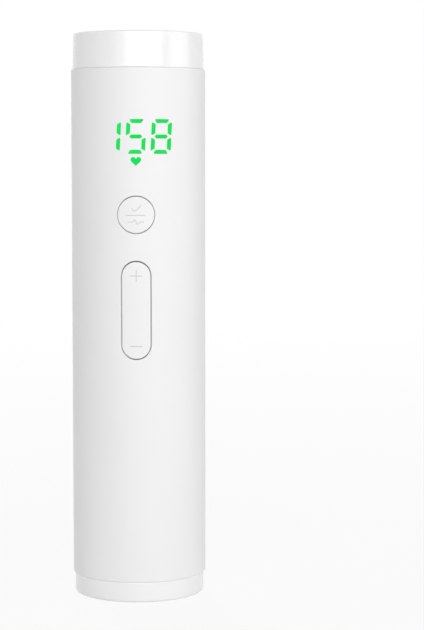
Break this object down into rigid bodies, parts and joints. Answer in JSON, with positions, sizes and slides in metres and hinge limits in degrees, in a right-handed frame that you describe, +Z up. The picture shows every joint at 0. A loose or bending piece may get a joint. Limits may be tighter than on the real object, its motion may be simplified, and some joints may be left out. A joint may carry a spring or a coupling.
{
  "type": "fetal doppler",
  "caption": "White round handheld fetal doppler that stands on its probe face, with lit heart-rate digits, a round button, a volume rocker and a battery door.",
  "frame": {"origin": "middle of the flat probe face that the doppler stands on", "axes": "+Z up the stick from the probe face to the speaker cap; the display and the buttons face -Y, the battery door and the charging socket face +Y; +X is to the right of someone who looks at the display"},
  "size_m": [0.038, 0.038, 0.1591],
  "materials": {
    "satin_white": "fine satin moulding",
    "gloss_white": "polished",
    "lit_green": "lit from behind",
    "board_green": "solder resist",
    "black_moulding": "moulded",
    "dark_plastic": "moulded",
    "steel": "plated",
    "dark_steel": "dark plated",
    "nickel": "nickel plated",
    "cell_jacket": "printed film jacket",
    "grey_felt": "felt",
    "cone_paper": "pressed paper",
    "piezo_ceramic": "fired, silvered",
    "backing_rubber": "cast",
    "seal_rubber": "moulded",
    "copper_sheet": "drawn sheet",
    "lead_red": "insulation",
    "lead_grey": "insulation"
  },
  "bodies": {
    "casing": {"front_shell": "satin_white", "rear_shell": "satin_white", "top_cap": "gloss_white", "probe_cap": "gloss_white", "display_light_guide": "lit_green", "display_module": "black_moulding", "main_board": "board_green", "charge_board": "board_green", "ok_switch_body": "black_moulding", "plus_switch_body": "black_moulding", "minus_switch_body": "black_moulding", "processor_chip": "black_moulding", "ultrasound_chip": "black_moulding", "amplifier_chip": "black_moulding", "charge_chip": "black_moulding", "quartz_can": "steel", "probe_socket": "dark_plastic", "board_header": "dark_plastic", "usb_socket_sleeve": "dark_steel", "usb_socket_tongue": "dark_plastic", "battery_cell": "cell_jacket", "battery_contact_negative": "nickel", "battery_contact_positive": "nickel", "battery_spring": "steel", "case_screw_1": "steel", "case_screw_2": "steel", "board_screw_1": "steel", "board_screw_2": "steel", "board_screw_3": "steel", "board_screw_4": "steel", "charge_screw_1": "steel", "charge_screw_2": "steel", "speaker_gasket": "grey_felt", "speaker_frame": "steel", "speaker_magnet": "steel", "speaker_cone": "cone_paper", "speaker_clamp_ring": "dark_plastic", "speaker_lead": "lead_grey", "transmit_crystal": "piezo_ceramic", "receive_crystal": "piezo_ceramic", "crystal_backing": "backing_rubber", "probe_shield": "copper_sheet", "probe_seal_ring": "seal_rubber", "transmit_lead": "lead_red", "receive_lead": "lead_grey"},
    "ok_button": {"ok_button": "satin_white"},
    "ok_plunger": {"ok_switch_plunger": "dark_plastic"},
    "rocker": {"volume_rocker": "satin_white"},
    "plus_plunger": {"plus_switch_plunger": "dark_plastic"},
    "minus_plunger": {"minus_switch_plunger": "dark_plastic"},
    "door": {"battery_door": "satin_white"}
  },
  "joints": [
    {"name": "ok_button_press", "type": "slide", "parent": "casing", "child": "ok_button", "axis": [0, 1, 0], "range_m": [0, 0.0003], "stiffness_N_per_m": 3000},
    {"name": "ok_plunger_press", "type": "slide", "parent": "casing", "child": "ok_plunger", "axis": [0, 1, 0], "range_m": [0, 0.0003]},
    {"name": "rocker_tilt", "type": "hinge", "parent": "casing", "child": "rocker", "pos_m": [0, -0.0147, 0.08215], "axis": [1, 0, 0], "range_deg": [-1.4, 1.4], "stiffness_Nm_per_rad": 0.4},
    {"name": "plus_plunger_press", "type": "slide", "parent": "casing", "child": "plus_plunger", "axis": [0, 1, 0], "range_m": [-0.0003, 0.0003]},
    {"name": "minus_plunger_press", "type": "slide", "parent": "casing", "child": "minus_plunger", "axis": [0, 1, 0], "range_m": [-0.0003, 0.0003]},
    {"name": "door_open", "type": "hinge", "parent": "casing", "child": "door", "pos_m": [0, 0.019, 0.06745], "axis": [-1, 0, 0], "range_deg": [0, 40]}
  ],
  "couplings": [
    {"joint": "ok_plunger_press", "follows": "ok_button_press", "ratio": 1},
    {"joint": "plus_plunger_press", "follows": "rocker_tilt", "m_per_rad": -0.00975},
    {"joint": "minus_plunger_press", "follows": "rocker_tilt", "m_per_rad": 0.00975}
  ]
}
